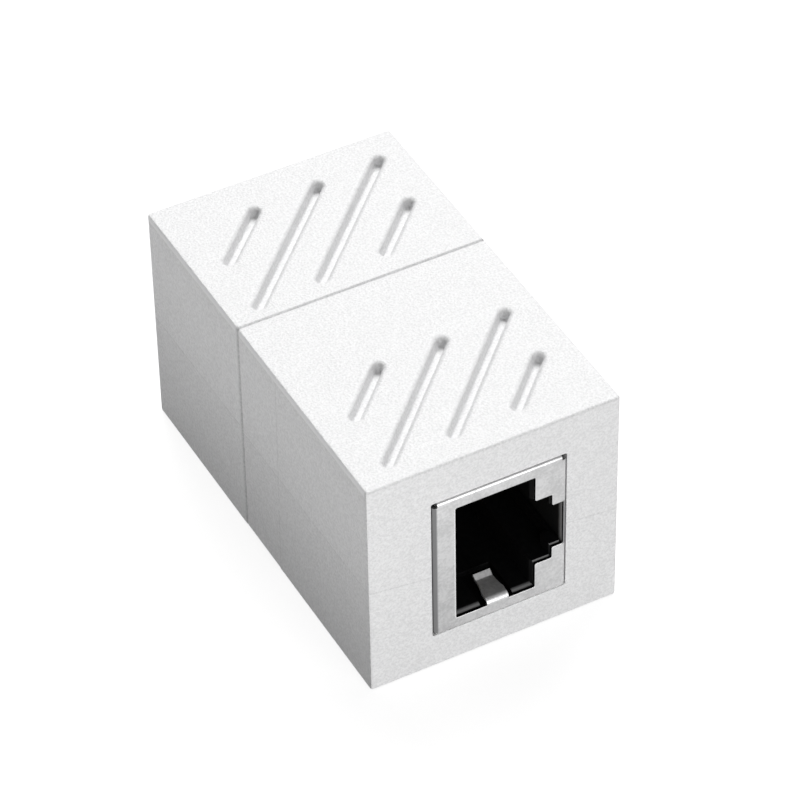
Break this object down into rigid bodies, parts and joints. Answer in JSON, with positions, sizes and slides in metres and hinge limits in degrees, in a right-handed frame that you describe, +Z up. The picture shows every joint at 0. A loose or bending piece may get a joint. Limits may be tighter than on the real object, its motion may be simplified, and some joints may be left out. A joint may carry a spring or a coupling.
{
  "type": "rj45 inline coupler",
  "caption": "White box-shaped coupler that joins two network patch cords end to end, with a shielded modular port in each short face and slanted grip grooves on top.",
  "frame": {"origin": "on the surface that the coupler stands on, under the middle of the case", "axes": "+Y along the coupler from the front port to the rear port, +Z up through the grooved face, +X across, towards the plugs' latches"},
  "size_m": [0.023, 0.0394, 0.0222],
  "materials": {
    "case": "fine matte grain",
    "jack": "satin black",
    "shield": "nickel plated sheet",
    "contact": "gold plated wire",
    "board": "green solder mask"
  },
  "bodies": {
    "root": {"front_shell": "case", "rear_shell": "case", "circuit_board": "board", "front_shield_can": "shield", "front_jack_housing": "jack", "front_contact_insert": "jack", "front_contact_1": "contact", "front_contact_2": "contact", "front_contact_3": "contact", "front_contact_4": "contact", "front_contact_5": "contact", "front_contact_6": "contact", "front_contact_7": "contact", "front_contact_8": "contact", "rear_shield_can": "shield", "rear_jack_housing": "jack", "rear_contact_insert": "jack", "rear_contact_1": "contact", "rear_contact_2": "contact", "rear_contact_3": "contact", "rear_contact_4": "contact", "rear_contact_5": "contact", "rear_contact_6": "contact", "rear_contact_7": "contact", "rear_contact_8": "contact"}
  },
  "joints": []
}
